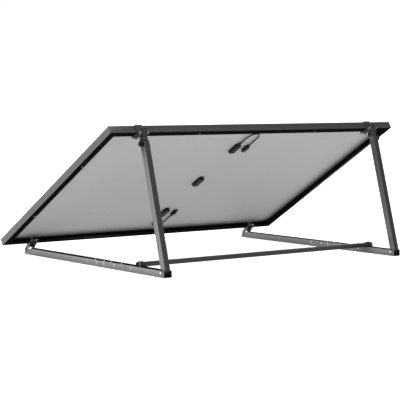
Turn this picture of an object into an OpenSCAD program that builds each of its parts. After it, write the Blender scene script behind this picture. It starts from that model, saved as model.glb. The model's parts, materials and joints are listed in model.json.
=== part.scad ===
// Framed solar panel on an adjustable tilt stand.
// +X runs along the long edge of the panel, +Y towards the raised edge, +Z up.
// The origin is on the ground, at the middle of the outline.

/* [Panel] */
// Long side of the panel
panel_w = 1722; // [1600:1:1900]
// Short side of the panel, measured up the slope
panel_h = 1134; // [1100:1:1160]
// Depth of the aluminium frame
frame_t = 35; // [34:1:40]
// Width of the rear flange of the frame
flange_w = 36; // [30:1:40]
// Width of the front lip that covers the glass
lip_w = 11; // [9:1:13]
// Tilt of the panel with the legs at their shortest
tilt = 30.7; // [29:0.1:32]

/* [Cells] */
// Half cells along each half of the long side
cells_x = 9; // [6:1:9]
// Rows of cells up the slope
cells_s = 6; // [4:1:6]
// Width of one half cell
cell_w = 91; // [70:1:91]
// Height of one half cell
cell_h = 182; // [150:1:182]

/* [Stand] */
// Distance between the middles of the two base rails
rail_gap = 1403; // [1300:1:1500]
// Length of a base rail
rail_len = 1205; // [1200:1:1215]
// Width of a base rail
rail_w = 43.5; // [42:0.5:46]
// Height of a base rail
rail_h = 30.5; // [30:0.5:34]
// Width of the outer leg tube
leg_w = 28.5; // [26:0.5:30]
// Depth of the outer leg tube
leg_d = 32; // [30:0.5:34]
// Outer leg tube from its foot bolt to its top end
leg_len = 590; // [570:1:600]
// Width of the sliding rod
rod_w = 21; // [18:0.5:21.5]
// Depth of the sliding rod
rod_d = 22; // [18:0.5:23]
// Diameter of the locking knobs
knob_d = 24; // [20:1:26]

/* [Leads] */
// Diameter of the panel's leads
lead_d = 6.5; // [5:0.1:6.5]
// Length of a connector body
connector_len = 46; // [40:1:50]

/* [Hidden] */
$fn = 48;

// Panel section, as heights above the rear plane of the frame
wall = 1.5;                                  // frame wall
flange_t = 1.8;
lam_edge = 3;                                // laminate edge to frame outside
seal_t = 0.4;
sheet_t = 0.4;
film_t = 0.45;
cell_t = 0.3;
glass_t = 3.2;
slot_hi = frame_t - wall;
glass_n = slot_hi - seal_t - glass_t;        // underside of the glass
front_film_n = glass_n - film_t;
cell_n = front_film_n - cell_t;
rear_film_n = cell_n - film_t;
back_n = rear_film_n - sheet_t;              // rear face of the backsheet
slot_lo = back_n - seal_t;
chamber_n = 10;                              // underside of the hollow chamber
chamber_w = 11;
lam_w = panel_w - 2 * lam_edge;
lam_h = panel_h - 2 * lam_edge;
cell_gap = 2;
mid_gap = 16;                                // gap between the two cell halves
ribbon_w = 5;
ribbon_in = 4;                               // a ribbon's end short of the cells' edge

// Holes in the rear flange, as distances from the panel's middle
flange_hole_r = 4.5;
flange_hole_in = 24;
long_side_hole = 354;
short_side_hole = 250;

// Junction boxes
box_w = 32;
box_l = 74;
box_h = 14;
box_wall = 2;
box_r = 7;                                   // corner radius
box_x = 3;                                   // middle of a box, off the panel's middle
box_step = 345;                              // spacing of the three boxes
lid_t = 2;
rim_t = 0.8;                                 // raised field of a lid
rim_in = 3;
skirt_w = 1.5;                               // glued skirt round the foot of a box
skirt_t = 1.2;
lug_w = 11;                                  // lug that carries the port
lug_l = 9;
tab_w = 25;                                  // low tab on the raised end
tab_x = 2;
tab_t = 4.5;
port_x = 2;                                  // the lead's port, off the box's middle
clip_y = 22;                                 // terminal clips, off the box's middle
clip_w = 22;
clip_l = 20;
clip_t = 1.2;
diode_r = 2.7;
diode_l = 10;
gland_r = 5.5;
gland_l = 8;

// Leads: offset across, distance out from the box's middle; both leads use the same bend
lead_n = 20;
LEAD = [[2, 51], [2, 68], [3, 86], [3, 104], [0, 121], [-7, 136], [-18, 146], [-31, 150],
  [-45, 147], [-56, 138], [-63, 124], [-66, 106], [-66, 87], [-66, 67], [-66, 50], [-66, 34]];
connector_x = -66;
connector_y = 34;
connector_r = 7.5;
wing_w = 24;                                 // flat grip round a connector's barrel
wing_h = 14.6;
wing_r = 4.5;
nut_l = 16;
nut_r = 7.6;

// Pivots, in the frame of the panel and on the ground
pivot_z = 22;
base_shift = -2;                             // centres the outline on the origin
front_y = base_shift - 592;
foot_y = base_shift + 585;
front_out = 26;                              // front pivot beyond the lower edge
front_drop = 20;                             // front pivot below the rear plane
top_out = 20;                                // top pivot beyond the raised edge
top_drop = 11.5;
panel_y = front_y + front_out * cos(tilt) - front_drop * sin(tilt);
panel_z = pivot_z + front_out * sin(tilt) + front_drop * cos(tilt);
top_s = panel_h + top_out;
top_y = panel_y + top_s * cos(tilt) + top_drop * sin(tilt);
top_z = panel_z + top_s * sin(tilt) - top_drop * cos(tilt);

// Leg: the tube's middle sits behind the foot bolt, and the rod behind the tube's middle
leg_back = 3;
rod_back = 1.5;
reach = norm([top_y - foot_y, top_z - pivot_z]);
rod_set = leg_back + rod_back;
lean = atan2(foot_y - top_y, top_z - pivot_z) + asin(rod_set / reach);
rod_l = sqrt(reach * reach - rod_set * rod_set);
leg_wall = 2;
rod_wall = 1.5;
leg_below = 12;                              // tube below the foot bolt
knob_at = leg_len - 10;                      // knob along the tube from the foot bolt
travel = 285;                                // slot travel of the rod
rod_top = 14;                                // rod above the top pivot
rod_grip = 30;                               // rod below the end of its slot
rod_below = rod_l - knob_at + travel + rod_grip;
pivot_play = 2.3;                            // half length added to the rod's slotted hole

// Fasteners
m8 = 4;
m6 = 3;
run = 0.05;                                  // running clearance of a pivot
fit = 0.2;                                   // clearance of a bolt in its hole
af8 = 13;
af6 = 10;
head8 = 5.3;
head6 = 4;
nut8 = 6.5;
bolt_end = 2.5;                              // bolt beyond its nut

// Rails and crossbar
rail_x = rail_gap / 2;
rail_wall = 2;
rail_floor = 2.5;
rail_front = base_shift - rail_len / 2;
ANGLE_HOLES = [-14, 66, 122, 210, 348];      // spare holes for the leg's foot
anchor_y = 500;                              // ground fixing holes, from the rail's middle
anchor_r = 4.5;
bar_y = base_shift + 399.5;
bar_w = 24;
bar_h = 20;
bar_wall = 1.6;
cap_t = 2.8;
cap_plug = 10;                               // plug of an end cap inside the crossbar
strap_screw_y = bar_w / 2 + 11;              // floor screws, off the crossbar's middle
strap_w = 22;
strap_t = 3;
strap_foot = 16;

// Clamps on the frame
plate_t = 3;
touch = 0.2;                                 // gap between clamp and frame
jaw_low = -touch - plate_t;                  // outer face of a clamp's lower plate
clamp_w = 38;
grip_in = 40;                                // jaw screw from the panel's edge
jaw_x = 10;                                  // jaw screw off the clamp's middle
ear_gap = 4.5;                               // space between the rod and each top ear
thumb_x = -8;                                // thumb screw off the clamp's middle
thumb_in = 19;                               // thumb screw from the panel's edge
side_screw_x = -10;                          // side screw off the clamp's middle
side_screw_n = 20;                           // side screw above the frame's rear plane
side_screw_l = 9;
hook_under = 53;                             // length of a hook's lower plate
hook_lip = 8;                                // how far a hook laps over the glass side
bottom_grip_in = 22;                         // grip screw of the bottom clamps

// ---------- helpers ----------

// Local frame of the panel: x across, y up the slope, z out through the glass
module in_panel() translate([0, panel_y, panel_z]) rotate([tilt, 0, 0]) children();

// Local frame of a leg: z along the tube from the foot bolt, y to the rear
module in_leg(x) translate([x, foot_y, pivot_z]) rotate([lean, 0, 0]) children();

module round_rect(w, h, r) {
  square([w - 2 * r, h], center = true);
  square([w, h - 2 * r], center = true);
  for (x = [-1, 1], y = [-1, 1]) translate([x * (w / 2 - r), y * (h / 2 - r)]) circle(r);
}

// Hexagon bolt: the underside of the head is at z = 0 and the shank runs to -z
module hex_bolt(r, af, head, len) {
  cylinder(d = af / cos(30), h = head, $fn = 6);
  translate([0, 0, -len]) cylinder(r = r, h = len + 0.01);
}

module hex_nut(r, af, h) difference() {
  cylinder(d = af / cos(30), h = h, $fn = 6);
  translate([0, 0, -1]) cylinder(r = r + fit / 2, h = h + 2);
}

// Plate lying in the slope-normal plane, centred on x, from a polygon of [slope, normal] points
module side_plate(x, t) translate([x - t / 2, 0, 0]) rotate([90, 0, 90])
  linear_extrude(t) children();

// ---------- panel frame ----------

// Section of the frame: first coordinate inward from the outside face, second up from the rear
module frame_section() difference() {
  union() {
    square([wall, frame_t]);
    square([flange_w, flange_t]);
    translate([0, slot_hi]) square([lip_w, wall]);
    translate([0, chamber_n]) square([chamber_w, slot_lo - chamber_n]);
  }
  translate([wall, chamber_n + wall]) square([chamber_w - 2 * wall, slot_lo - chamber_n - 2 * wall]);
}

// Bar of a given length with mitred ends; its outside face is y = 0 and it grows to +y
mitre = 80;                                  // block that cuts a bar's end at 45 degrees
module frame_bar(len, holes) difference() {
  rotate([90, 0, 90]) translate([0, 0, -len / 2]) linear_extrude(len) frame_section();
  for (e = [-1, 1]) translate([e * len / 2, 0, -1]) rotate([0, 0, e * 45])
    translate([e > 0 ? 0 : -mitre, -mitre, 0]) cube([mitre, 2 * mitre, frame_t + 2]);
  for (x = holes) translate([x, flange_hole_in, -1]) cylinder(r = flange_hole_r, h = 4);
}

// Clearance for the side screws of the two clamps
module hook_holes() for (e = [-1, 1])
  translate([e * rail_x + side_screw_x, -1, side_screw_n]) rotate([-90, 0, 0])
  cylinder(r = m6 + fit, h = 4);

module frame_bottom() color([0.16, 0.16, 0.17]) in_panel() difference() {
  frame_bar(panel_w, [-long_side_hole, long_side_hole]);
  hook_holes();
}

module frame_top() color([0.16, 0.16, 0.17]) in_panel() difference() {
  translate([0, panel_h, 0]) mirror([0, 1, 0]) frame_bar(panel_w, [-long_side_hole, long_side_hole]);
  translate([0, panel_h, 0]) mirror([0, 1, 0]) hook_holes();
}

module frame_side(e) color([0.2, 0.2, 0.21]) in_panel()
  translate([e * panel_w / 2, panel_h / 2, 0]) rotate([0, 0, e * 90])
  frame_bar(panel_h, [-short_side_hole, short_side_hole]);

// Corner keys: L-shaped blocks inside the chambers, each joining two bars
module corner_keys() color("silver") in_panel() {
  arm = 30;
  inset = wall + fit;
  key_w = chamber_w - 2 * inset;
  key_h = slot_lo - chamber_n - 2 * inset;
  for (e = [-1, 1], f = [0, 1])
    translate([e * panel_w / 2, f * panel_h, 0]) mirror([e > 0 ? 1 : 0, 0, 0]) mirror([0, f, 0]) {
      translate([inset, inset, chamber_n + inset]) cube([arm, key_w, key_h]);
      translate([inset, inset, chamber_n + inset]) cube([key_w, arm, key_h]);
    }
}

// ---------- laminate ----------

module layer(n, t) in_panel() translate([-lam_w / 2, lam_edge, n]) cube([lam_w, lam_h, t]);

module glass() color([0.1, 0.13, 0.2, 0.6]) layer(glass_n, glass_t);
module front_encapsulant() color([0.9, 0.92, 0.95, 0.4]) layer(front_film_n, film_t);
module rear_encapsulant() color([0.9, 0.92, 0.95, 0.4]) layer(rear_film_n, film_t);
module backsheet() color([0.66, 0.66, 0.67]) layer(back_n, sheet_t);

module half_cell(w, h) {
  cut = 4;
  polygon([[cut, 0], [w, 0], [w, h], [cut, h], [0, h - cut], [0, cut]]);
}

cells_tall = cells_s * (cell_h + cell_gap) - cell_gap;

module solar_cells() color([0.03, 0.04, 0.09]) in_panel()
  for (e = [0, 1], i = [0 : cells_x - 1], j = [0 : cells_s - 1])
    mirror([e, 0, 0])
    translate([mid_gap / 2 + i * (cell_w + cell_gap), (panel_h - cells_tall) / 2
      + j * (cell_h + cell_gap), cell_n]) linear_extrude(cell_t) half_cell(cell_w, cell_h);

// Cross ribbons beside the middle gap and at both ends, one length for each pair of rows
module bus_ribbons() color("silver") in_panel() {
  pair = 2 * (cell_h + cell_gap);
  end_x = mid_gap / 2 + cells_x * (cell_w + cell_gap);
  for (e = [0, 1], x = [1.5, end_x], j = [0 : floor(cells_s / 2) - 1]) mirror([e, 0, 0])
    translate([x, (panel_h - cells_tall) / 2 + j * pair + ribbon_in, cell_n])
      cube([ribbon_w, pair - cell_gap - 2 * ribbon_in, cell_t]);
}

// Foam tape round the laminate, inside the slot of the frame
module edge_seal() color([0.1, 0.1, 0.1]) in_panel() difference() {
  translate([-panel_w / 2 + wall, wall, slot_lo])
    cube([panel_w - 2 * wall, panel_h - 2 * wall, slot_hi - slot_lo]);
  translate([-lam_w / 2, lam_edge, back_n]) cube([lam_w, lam_h, slot_hi - back_n - seal_t]);
  translate([-panel_w / 2 + lip_w - 1, lip_w - 1, slot_lo - 1])
    cube([panel_w - 2 * lip_w + 2, panel_h - 2 * lip_w + 2, frame_t]);
}

// ---------- junction boxes ----------

// Local frame of a box: y points out towards the lead, z away from the backsheet
module at_box(k) in_panel() translate([box_x, panel_h / 2 + k * box_step, back_n])
  mirror([0, k < 0 ? 1 : 0, 0]) mirror([0, 0, 1]) children();

// Lug on an end of a box: up is 1 for the lead's end and -1 for the other
module box_lug(x, w, up) translate([x - w / 2, up > 0 ? 0 : -box_l / 2 - lug_l])
  square([w, box_l / 2 + lug_l]);

// Rounded outline, with the lug that carries the port on a wired box
module box_outline(grow, wired) {
  round_rect(box_w + 2 * grow, box_l + 2 * grow, box_r + grow);
  if (wired) box_lug(port_x, lug_w, 1);
}

// Box with a glued skirt round its foot and a low tab on its raised end
module junction_box(k, wired) color([0.1, 0.1, 0.11]) at_box(k) difference() {
  union() {
    linear_extrude(skirt_t) box_outline(skirt_w, wired);
    linear_extrude(tab_t) box_lug(tab_x, tab_w, k < 0 ? -1 : 1);
    linear_extrude(box_h - lid_t) box_outline(0, wired);
  }
  translate([0, 0, box_wall]) linear_extrude(box_h)
    round_rect(box_w - 2 * box_wall, box_l - 2 * box_wall, box_r - box_wall);
  if (wired) translate([port_x, box_l / 2 - 2 * box_wall, back_n - lead_n]) rotate([-90, 0, 0])
    cylinder(r = lead_d / 2 + fit, h = 2 * lug_l);
}

module junction_lids() color([0.12, 0.12, 0.13]) for (k = [-1, 0, 1]) at_box(k) {
  translate([0, 0, box_h - lid_t]) linear_extrude(lid_t) round_rect(box_w, box_l, box_r);
  translate([0, 0, box_h]) linear_extrude(rim_t)
    round_rect(box_w - 2 * rim_in, box_l - 2 * rim_in, box_r - rim_in);
}

// A diode across each box, on the two terminal clips
module bypass_diodes() color("black") for (k = [-1, 0, 1]) at_box(k)
  translate([-diode_l / 2, 0, box_wall + diode_r + 1]) rotate([0, 90, 0])
    cylinder(r = diode_r, h = diode_l);

module terminal_clips() color("silver") for (k = [-1, 0, 1], y = [-clip_y, clip_y]) at_box(k)
  translate([-clip_w / 2, y - clip_l / 2, box_wall]) cube([clip_w, clip_l, clip_t]);

// Gland nut screwed on the port, with a tapered sleeve for the lead
module cable_gland(k) color([0.08, 0.08, 0.08]) at_box(k)
  translate([port_x, box_l / 2 + lug_l, back_n - lead_n]) rotate([-90, 0, 0]) difference() {
    union() {
      cylinder(r = gland_r, h = gland_l / 2);
      translate([0, 0, gland_l / 2])
        cylinder(r1 = gland_r - 0.5, r2 = lead_d / 2 + 0.8, h = gland_l / 2);
    }
    translate([0, 0, -1]) cylinder(r = lead_d / 2 + fit, h = gland_l);
  }

// ---------- leads ----------

// Catmull-Rom point between p1 and p2
function blend(p0, p1, p2, p3, t) = 0.5 * (2 * p1 + (p2 - p0) * t
  + (2 * p0 - 5 * p1 + 4 * p2 - p3) * t * t + (3 * p1 - 3 * p2 + p3 - p0) * t * t * t);

function clamped(a, i) = a[max(0, min(len(a) - 1, i))];
function smooth(a, steps) = [for (i = [0 : len(a) - 2], k = [0 : steps - 1])
  blend(clamped(a, i - 1), a[i], a[i + 1], clamped(a, i + 2), k / steps), a[len(a) - 1]];

// Tube swept along points that stay at one height
module flat_tube(pts, r, sides) {
  n = len(pts);
  rings = [for (i = [0 : n - 1])
    let (d = clamped(pts, i + 1) - clamped(pts, i - 1), u = d / norm(d))
    for (j = [0 : sides - 1])
      let (a = 360 * j / sides)
      [pts[i][0] + r * cos(a) * u[1], pts[i][1] - r * cos(a) * u[0], r * sin(a)]];
  walls = [for (i = [0 : n - 2], j = [0 : sides - 1])
    let (k = (j + 1) % sides)
    [i * sides + j, (i + 1) * sides + j, (i + 1) * sides + k, i * sides + k]];
  start = [[for (j = [0 : sides - 1]) j]];
  finish = [[for (j = [sides - 1 : -1 : 0]) (n - 1) * sides + j]];
  polyhedron(points = rings, faces = concat(walls, start, finish));
}

module lead(k) color([0.06, 0.06, 0.06]) at_box(k)
  translate([0, 0, back_n - lead_n]) flat_tube(smooth(LEAD, 2), lead_d / 2, 10);

// Local frame of a connector: z runs from the lead's end towards the box's side
module at_connector(k) at_box(k) translate([connector_x, connector_y, back_n - lead_n])
  rotate([90, 0, 0]) children();

taper = 6;                                   // length of the nut's tapered sleeve
module connector_nut(k) color([0.07, 0.07, 0.07]) at_connector(k) difference() {
  union() {
    cylinder(r1 = lead_d / 2 + 1.5, r2 = nut_r, h = taper);
    translate([0, 0, taper]) cylinder(r = nut_r, h = nut_l - taper);
  }
  translate([0, 0, 2]) cylinder(r = lead_d / 2, h = nut_l);
}

// Flat grip round a connector's barrel, parallel to the backsheet
module wings(from, len) translate([0, 0, from]) linear_extrude(len) round_rect(wing_w, wing_h, wing_r);

// Socket half: a barrel with a narrower mouth and two latch windows
socket_r = 5;
mouth_l = 8;
module connector_upper() color([0.09, 0.09, 0.09]) at_connector(1) translate([0, 0, nut_l])
  difference() {
    union() {
      cylinder(r = connector_r, h = connector_len - mouth_l);
      translate([0, 0, connector_len - mouth_l]) cylinder(r = connector_r - 1, h = mouth_l);
      wings(1, connector_len - mouth_l - 3);
    }
    translate([0, 0, connector_len - 26]) cylinder(r = socket_r, h = 30);
    for (e = [-1, 1]) translate([e * wing_w / 2 - 1.5, -3, 14]) cube([3, 6, 9]);
  }

// Plug half: a stepped barrel with two latch arms
pin_r = 4.8;
plug_body = 26;
module connector_lower() color([0.09, 0.09, 0.09]) at_connector(-1) translate([0, 0, nut_l])
  difference() {
    union() {
      cylinder(r = connector_r, h = plug_body);
      translate([0, 0, plug_body]) cylinder(r = pin_r, h = connector_len - plug_body);
      for (e = [-1, 1]) translate([e * 6.6 - 1, -2.5, plug_body - 2])
        cube([2, 5, connector_len - plug_body - 2]);
      wings(1, plug_body - 4);
    }
    translate([0, 0, connector_len - 16]) cylinder(r = 2.2, h = 20);
  }

// ---------- clamps ----------

// Side section of a clamp's hook, as [inward, normal] from the panel's edge:
// a lip over the front, a plate on the edge of the frame and a plate under the flange
module hook_section() {
  translate([jaw_low, jaw_low]) square([plate_t, frame_t - jaw_low + touch]);
  translate([jaw_low, frame_t + touch]) square([plate_t + hook_lip, plate_t]);
  translate([jaw_low, jaw_low]) square([hook_under, plate_t]);
}

module clamp_hook() difference() {
  rotate([90, 0, 90]) translate([0, 0, -clamp_w / 2]) linear_extrude(clamp_w) hook_section();
  translate([side_screw_x, -10, side_screw_n]) rotate([-90, 0, 0])
    cylinder(r = m6 + fit, h = 20);
  translate([jaw_x, grip_in, -10]) cylinder(r = m8 + fit, h = 12);
}

// Local frame of a clamp: y inward from the raised edge (top) or from the lower edge (bottom)
module at_top(x) in_panel() translate([x, panel_h, 0]) mirror([0, 1, 0]) children();
module at_bottom(x) in_panel() translate([x, 0, 0]) children();

top_ear_t = 3;
top_ear_x = rod_w / 2 + ear_gap + top_ear_t / 2;

top_ear_low = -top_drop - 12;

// Wedge under the hook, from the pivot to a square tip under the flange
module top_ear_outline() difference() {
  union() {
    translate([-top_out, -top_drop]) circle(12);
    polygon([[-top_out, top_ear_low], [27, top_ear_low], [27, jaw_low + 0.5],
      [-touch - 0.5, jaw_low + 0.5], [-touch - 0.5, 12], [-top_out, 0.5]]);
  }
  translate([-top_out, -top_drop]) circle(m8 + fit);
}

module top_clamp(x) color([0.22, 0.22, 0.23]) at_top(x) difference() {
  union() {
    clamp_hook();
    for (e = [-1, 1]) side_plate(e * top_ear_x, top_ear_t) top_ear_outline();
  }
  translate([thumb_x, thumb_in, -10]) cylinder(r = m8 + fit, h = 12);
}

bottom_ear_x = clamp_w / 2 - 1.2;

// Ear from the underside of the hook down to the front pivot
module bottom_ear_outline() difference() {
  union() {
    translate([-front_out, -front_drop]) circle(10.4);
    polygon([[-touch - plate_t, -touch - 1], [30, -touch - 1], [27, -14], [4, -21],
      [-front_out + 6, -front_drop - 8.5], [-front_out - 4, -front_drop + 9.6]]);
  }
  translate([-front_out, -front_drop]) circle(m8 + run);
}

module bottom_clamp(x) color([0.4, 0.4, 0.41]) at_bottom(x) {
  difference() {
    clamp_hook();
    translate([0, bottom_grip_in, -10]) cylinder(r = m8 + fit, h = 12);
  }
  for (e = [-1, 1]) side_plate(e * bottom_ear_x, plate_t) bottom_ear_outline();
  side_plate(0, 2 * bottom_ear_x - plate_t + 0.02)
    polygon([[27.4, -14], [4, -21], [4.8, -18.2], [26.8, -11.2]]);
}

jaw_top = 5.2;
jaw_under = 2.2;                             // the jaw's lip, just above the flange
jaw_w = 16;
jaw_screw_l = 19;

// Jaw: a block that closes on the inner edge of the flange
module jaw_outline() difference() {
  polygon([[flange_w + 0.4, jaw_low - 0.2], [flange_w + 0.4, jaw_under], [flange_w - 7, jaw_under],
    [flange_w - 7, jaw_top], [flange_w + 12, jaw_top], [flange_w + 12, 0], [flange_w + 9, -touch],
    [flange_w + 0.6, -touch]]);
  translate([flange_w - 10, jaw_low - 2]) square([40, plate_t + 2]);
}

module clamp_jaw() difference() {
  side_plate(jaw_x, jaw_w) jaw_outline();
  translate([jaw_x, grip_in, -5]) cylinder(r = m8 + fit, h = 20);
}

module clamp_jaws() color([0.3, 0.3, 0.31]) for (e = [-1, 1]) {
  at_top(e * rail_x) clamp_jaw();
  at_bottom(e * rail_x) clamp_jaw();
}

// Jaw screws and the side screws that hold each hook to the edge of the frame
module clamp_screws() color("silver") for (e = [-1, 1]) {
  at_top(e * rail_x) clamp_screw_set();
  at_bottom(e * rail_x) clamp_screw_set();
  at_bottom(e * rail_x) translate([0, bottom_grip_in, jaw_low]) rotate([180, 0, 0])
    hex_bolt(m8, af8, head8, plate_t + touch - 0.05);
}

module clamp_screw_set() {
  translate([jaw_x, grip_in, jaw_low]) rotate([180, 0, 0]) hex_bolt(m8, af8, head8, jaw_screw_l);
  translate([side_screw_x, jaw_low, side_screw_n]) rotate([90, 0, 0])
    hex_bolt(m6, af6, head6, side_screw_l);
}

module clamp_nuts() color("silver") for (e = [-1, 1]) {
  at_top(e * rail_x) translate([jaw_x, grip_in, jaw_top]) hex_nut(m8, af8, nut8);
  at_bottom(e * rail_x) translate([jaw_x, grip_in, jaw_top]) hex_nut(m8, af8, nut8);
  at_top(e * rail_x) translate([thumb_x, thumb_in, jaw_low - nut8]) rotate([0, 0, 30])
    hex_nut(m8, af8, nut8);
}

// Thumb screw: presses a top clamp's hook against the flange
thumb_r = 8.5;
thumb_h = 9;
socket_af = 6;
module thumb_screw(e) color([0.08, 0.08, 0.08]) at_top(e * rail_x)
  translate([thumb_x, thumb_in, 0]) {
    head_n = top_ear_low - thumb_h - 0.5;
    translate([0, 0, head_n + thumb_h]) cylinder(r = m8, h = -head_n - thumb_h - run);
    difference() {
      translate([0, 0, head_n]) cylinder(r = thumb_r, h = thumb_h + 0.01);
      translate([0, 0, head_n - 1]) cylinder(d = socket_af / cos(30), h = 5, $fn = 6);
    }
  }

// ---------- pivots on the panel ----------

pivot_half = top_ear_x + top_ear_t / 2;

module top_pivot_bolts() color("silver") for (e = [-1, 1])
  translate([e * rail_x, top_y, top_z]) rotate([0, 90, 0]) translate([0, 0, pivot_half])
    hex_bolt(m8, af8, head8, 2 * pivot_half + nut8 + bolt_end);

module top_pivot_nuts() color("silver") for (e = [-1, 1])
  translate([e * rail_x, top_y, top_z]) rotate([0, 90, 0]) translate([0, 0, -pivot_half - nut8])
    hex_nut(m8, af8, nut8);

// Spacers that keep each rod in the middle of its ears
module top_pivot_spacers() color([0.85, 0.85, 0.82]) for (e = [-1, 1], s = [-1, 1])
  translate([e * rail_x + s * (rod_w + ear_gap) / 2, top_y, top_z]) rotate([0, 90, 0])
    difference() {
      cylinder(r = 7, h = ear_gap - 2 * fit, center = true);
      cylinder(r = m8 + fit, h = ear_gap + 2, center = true);
    }

// ---------- base ----------

module rail(e) color([0.55, 0.55, 0.56]) translate([e * rail_x, 0, 0]) difference() {
  translate([-rail_w / 2, rail_front, 0]) cube([rail_w, rail_len, rail_h]);
  translate([-rail_w / 2 + rail_wall, rail_front - 1, rail_floor])
    cube([rail_w - 2 * rail_wall, rail_len + 2, rail_h]);
  for (y = concat([front_y, foot_y], [for (h = ANGLE_HOLES) base_shift + h]))
    translate([-rail_w, y, pivot_z]) rotate([0, 90, 0]) cylinder(r = m8 + fit, h = 2 * rail_w);
  for (y = [-anchor_y, anchor_y]) translate([0, y, -1]) cylinder(r = anchor_r, h = 5);
  for (y = [-1, 1]) translate([0, bar_y + y * strap_screw_y, -1]) cylinder(r = m6 + fit, h = 5);
}

module crossbar() color([0.25, 0.25, 0.26]) {
  bar_len = rail_gap + rail_w - 2 * cap_t;
  difference() {
    translate([-bar_len / 2, bar_y - bar_w / 2, rail_h]) cube([bar_len, bar_w, bar_h]);
    translate([-bar_len, bar_y - bar_w / 2 + bar_wall, rail_h + bar_wall])
      cube([2 * bar_len, bar_w - 2 * bar_wall, bar_h - 2 * bar_wall]);
    for (e = [-1, 1]) translate([e * rail_x, bar_y, rail_h + bar_h / 2])
      cylinder(r = m6 + fit, h = bar_h);
  }
}

module crossbar_caps() color([0.05, 0.05, 0.05]) for (e = [-1, 1])
  translate([e * (rail_x + rail_w / 2 - cap_t), bar_y, rail_h + bar_h / 2])
  mirror([e > 0 ? 0 : 1, 0, 0]) {
    rotate([90, 0, 90]) linear_extrude(cap_t) round_rect(bar_w, bar_h, 2);
    plug_w = bar_w - 2 * bar_wall - 2 * fit;
    plug_h = bar_h - 2 * bar_wall - 2 * fit;
    translate([-cap_plug, -plug_w / 2, -plug_h / 2]) cube([cap_plug + 0.01, plug_w, plug_h]);
  }

// Strap over the crossbar, with two feet on the floor of the rail
module bar_straps() color([0.3, 0.3, 0.31]) for (e = [-1, 1])
  translate([e * rail_x, bar_y, 0]) difference() {
  union() {
    for (s = [-1, 1])
      translate([-strap_w / 2, s * (bar_w + strap_t) / 2 - strap_t / 2, rail_floor])
      cube([strap_w, strap_t, rail_h + bar_h - rail_floor + strap_t]);
    translate([-strap_w / 2, -bar_w / 2 - strap_t, rail_h + bar_h])
      cube([strap_w, bar_w + 2 * strap_t, strap_t]);
    for (s = [0, 1]) mirror([0, s, 0])
      translate([-strap_w / 2, bar_w / 2 + strap_t - 0.01, rail_floor])
      cube([strap_w, strap_foot, strap_t]);
  }
  translate([0, 0, rail_h + bar_h - 1]) cylinder(r = m6 + fit, h = 10);
  for (s = [-1, 1]) translate([0, s * strap_screw_y, 0]) cylinder(r = m6 + fit, h = 10);
}

module strap_screws() color("silver") for (e = [-1, 1]) translate([e * rail_x, bar_y, 0]) {
  translate([0, 0, rail_h + bar_h + strap_t]) hex_bolt(m6, af6, head6, strap_t + bar_wall + 5);
  for (s = [-1, 1]) translate([0, s * strap_screw_y, rail_floor + strap_t])
    hex_bolt(m6, af6, head6, rail_floor + strap_t - 0.4);
}

// Pivot bolts of both rails, heads towards +X
module rail_bolts() color("silver") for (e = [-1, 1], y = [front_y, foot_y])
  translate([e * rail_x + rail_w / 2, y, pivot_z]) rotate([0, 90, 0])
    hex_bolt(m8, af8, head8, rail_w + nut8 + bolt_end);

module rail_nuts() color("silver") for (e = [-1, 1], y = [front_y, foot_y])
  translate([e * rail_x - rail_w / 2 - nut8, y, pivot_z]) rotate([0, 90, 0]) hex_nut(m8, af8, nut8);

// Spacers that keep each foot in the middle of its rail
module foot_spacers() color([0.85, 0.85, 0.82]) {
  gap = (rail_w - 2 * rail_wall - leg_w) / 2;
  for (e = [-1, 1], s = [-1, 1])
    translate([e * rail_x + s * (leg_w + gap) / 2, foot_y, pivot_z]) rotate([0, 90, 0])
      difference() {
        cylinder(r = 8, h = gap - 2 * fit, center = true);
        cylinder(r = m8 + fit, h = gap + 2, center = true);
      }
}

// ---------- legs ----------

module leg_tube(e) color([0.6, 0.6, 0.6]) in_leg(e * rail_x) difference() {
  translate([-leg_w / 2, leg_back - leg_d / 2, -leg_below])
    cube([leg_w, leg_d, leg_len + leg_below]);
  translate([-leg_w / 2 + leg_wall, leg_back - leg_d / 2 + leg_wall, -leg_below - 1])
    cube([leg_w - 2 * leg_wall, leg_d - 2 * leg_wall, leg_len + leg_below + 2]);
  translate([-leg_w, 0, 0]) rotate([0, 90, 0]) cylinder(r = m8 + run, h = 2 * leg_w);
  translate([-leg_w, rod_set, knob_at]) rotate([0, 90, 0]) cylinder(r = m6 + fit, h = 2 * leg_w);
}

// Guide bush in the top end of the tube, with a flange on the tube's end
bush_l = 24;
bush_rim = 1.5;
module leg_bush(e) color([0.06, 0.06, 0.06]) in_leg(e * rail_x) difference() {
  bush_w = leg_w - 2 * leg_wall - 2 * fit;
  bush_d = leg_d - 2 * leg_wall - 2 * fit;
  union() {
    translate([-bush_w / 2, leg_back - bush_d / 2, leg_len - bush_l])
      cube([bush_w, bush_d, bush_l]);
    translate([-leg_w / 2, leg_back - leg_d / 2, leg_len]) cube([leg_w, leg_d, bush_rim]);
  }
  translate([-rod_w / 2 - fit, rod_set - rod_d / 2 - fit, leg_len - bush_l - 1])
    cube([rod_w + 2 * fit, rod_d + 2 * fit, bush_l + 4]);
  translate([-leg_w, rod_set, knob_at]) rotate([0, 90, 0]) cylinder(r = m6 + fit, h = 2 * leg_w);
}

// Local frame of a rod: z along the leg from the top pivot
module in_rod(e) in_leg(e * rail_x) translate([0, rod_set, rod_l]) children();

// A slot through the rod in x, between two heights along the rod
module rod_slot(r, lo, hi) translate([-rod_w, 0, 0]) {
  for (z = [lo, hi]) translate([0, 0, z]) rotate([0, 90, 0]) cylinder(r = r, h = 2 * rod_w);
  translate([0, -r, lo]) cube([2 * rod_w, 2 * r, hi - lo]);
}

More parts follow.
